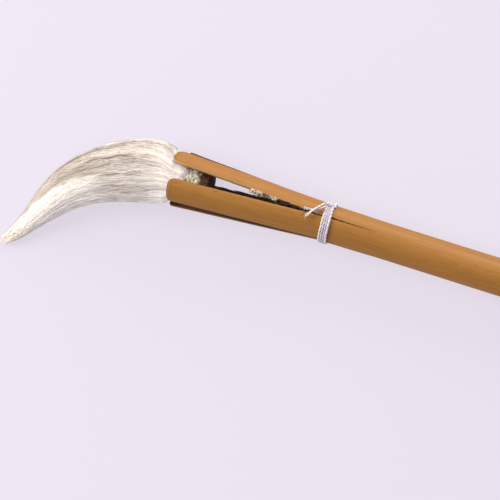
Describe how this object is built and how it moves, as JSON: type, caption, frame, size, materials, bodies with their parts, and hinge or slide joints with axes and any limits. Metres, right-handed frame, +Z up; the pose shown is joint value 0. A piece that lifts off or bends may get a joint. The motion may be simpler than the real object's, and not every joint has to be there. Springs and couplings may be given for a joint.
{
  "type": "calligraphy brush",
  "caption": "Calligraphy brush with a bamboo culm split at the front into prongs that grip a curved goat-hair tuft, bound with thread at the root of the split.",
  "frame": {"origin": "centre of the butt end of the culm, at the mouth of its bore", "axes": "+X out of the butt end along the culm, +Z up with the brush lying down on its side, the tuft curving towards -Y"},
  "size_m": [0.283, 0.0548, 0.0211],
  "materials": {
    "bamboo": "dry, lightly polished golden bamboo with fine straight grain",
    "thread": "white twisted cotton thread",
    "hair": "natural white goat hair, fine wavy strands",
    "resin": "greenish translucent resin with hair in it",
    "hardened_root": "dark brown singed and hardened root of the hair"
  },
  "bodies": {
    "handle": {"culm": "bamboo", "binding_wrap": "thread", "binding_knot": "thread", "binding_tail_1": "thread", "binding_tail_2": "thread", "root_plug": "hardened_root", "root_resin": "resin", "root_lashing": "thread", "tuft_core_base": "hair", "tuft_cover_base": "hair"},
    "prong_1": {"prong_1": "bamboo"},
    "prong_2": {"prong_2": "bamboo"},
    "prong_3": {"prong_3": "bamboo"},
    "prong_4": {"prong_4": "bamboo"},
    "tuft_tip": {"tuft_core_tip": "hair", "tuft_cover_tip": "hair"}
  },
  "joints": [
    {"name": "prong_1_flex", "type": "hinge", "parent": "handle", "child": "prong_1", "pos_m": [-0.165, 0.00497, 0.00299], "axis": [0, 0.515, -0.8572], "range_deg": [0, 4], "stiffness_Nm_per_rad": 0.2, "springref_deg": -4.58},
    {"name": "prong_2_flex", "type": "hinge", "parent": "handle", "child": "prong_2", "pos_m": [-0.165, 0.0041, -0.0041], "axis": [0, -0.7071, -0.7071], "range_deg": [0, 4], "stiffness_Nm_per_rad": 0.2, "springref_deg": -4.58},
    {"name": "prong_3_flex", "type": "hinge", "parent": "handle", "child": "prong_3", "pos_m": [-0.165, -0.00486, -0.00316], "axis": [0, -0.5446, 0.8387], "range_deg": [0, 4], "stiffness_Nm_per_rad": 0.2, "springref_deg": -4.58},
    {"name": "prong_4_flex", "type": "hinge", "parent": "handle", "child": "prong_4", "pos_m": [-0.165, -0.00373, 0.00444], "axis": [0, 0.766, 0.6428], "range_deg": [0, 4], "stiffness_Nm_per_rad": 0.2, "springref_deg": -4.58},
    {"name": "tuft_bend", "type": "hinge", "parent": "handle", "child": "tuft_tip", "pos_m": [-0.247, -0.0075, 0], "axis": [0, 0, 1], "range_deg": [-45, 30], "stiffness_Nm_per_rad": 0.003}
  ]
}
